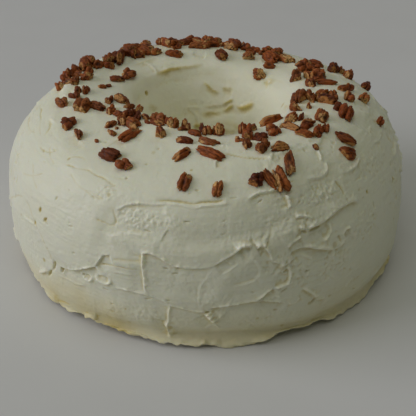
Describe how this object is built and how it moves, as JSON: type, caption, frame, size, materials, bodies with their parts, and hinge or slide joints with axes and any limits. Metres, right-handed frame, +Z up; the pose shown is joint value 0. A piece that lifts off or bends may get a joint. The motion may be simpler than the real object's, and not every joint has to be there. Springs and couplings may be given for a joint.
{
  "type": "carrot cake",
  "caption": "Ring-shaped carrot cake under thick, spatula-marked cream cheese icing, with chopped pecans scattered in a band round its centre hole.",
  "frame": {"origin": "under the middle of the cake's outline, on the surface that the cake stands on", "axes": "+Z up along the hole; -Y is the front, the side with a few nuts scattered low on its shoulder; +X to the right of someone who looks at the front"},
  "size_m": [0.26, 0.2627, 0.1127],
  "materials": {
    "icing": "cream cheese icing: ivory, soft, satin where a spatula smoothed it, with brown chopped pecans pressed into its top",
    "pecans": "toasted pecan: red-brown furrowed skin, paler tan flesh where it was chopped"
  },
  "bodies": {
    "root": {"iced_cake": "icing"}
  },
  "joints": []
}
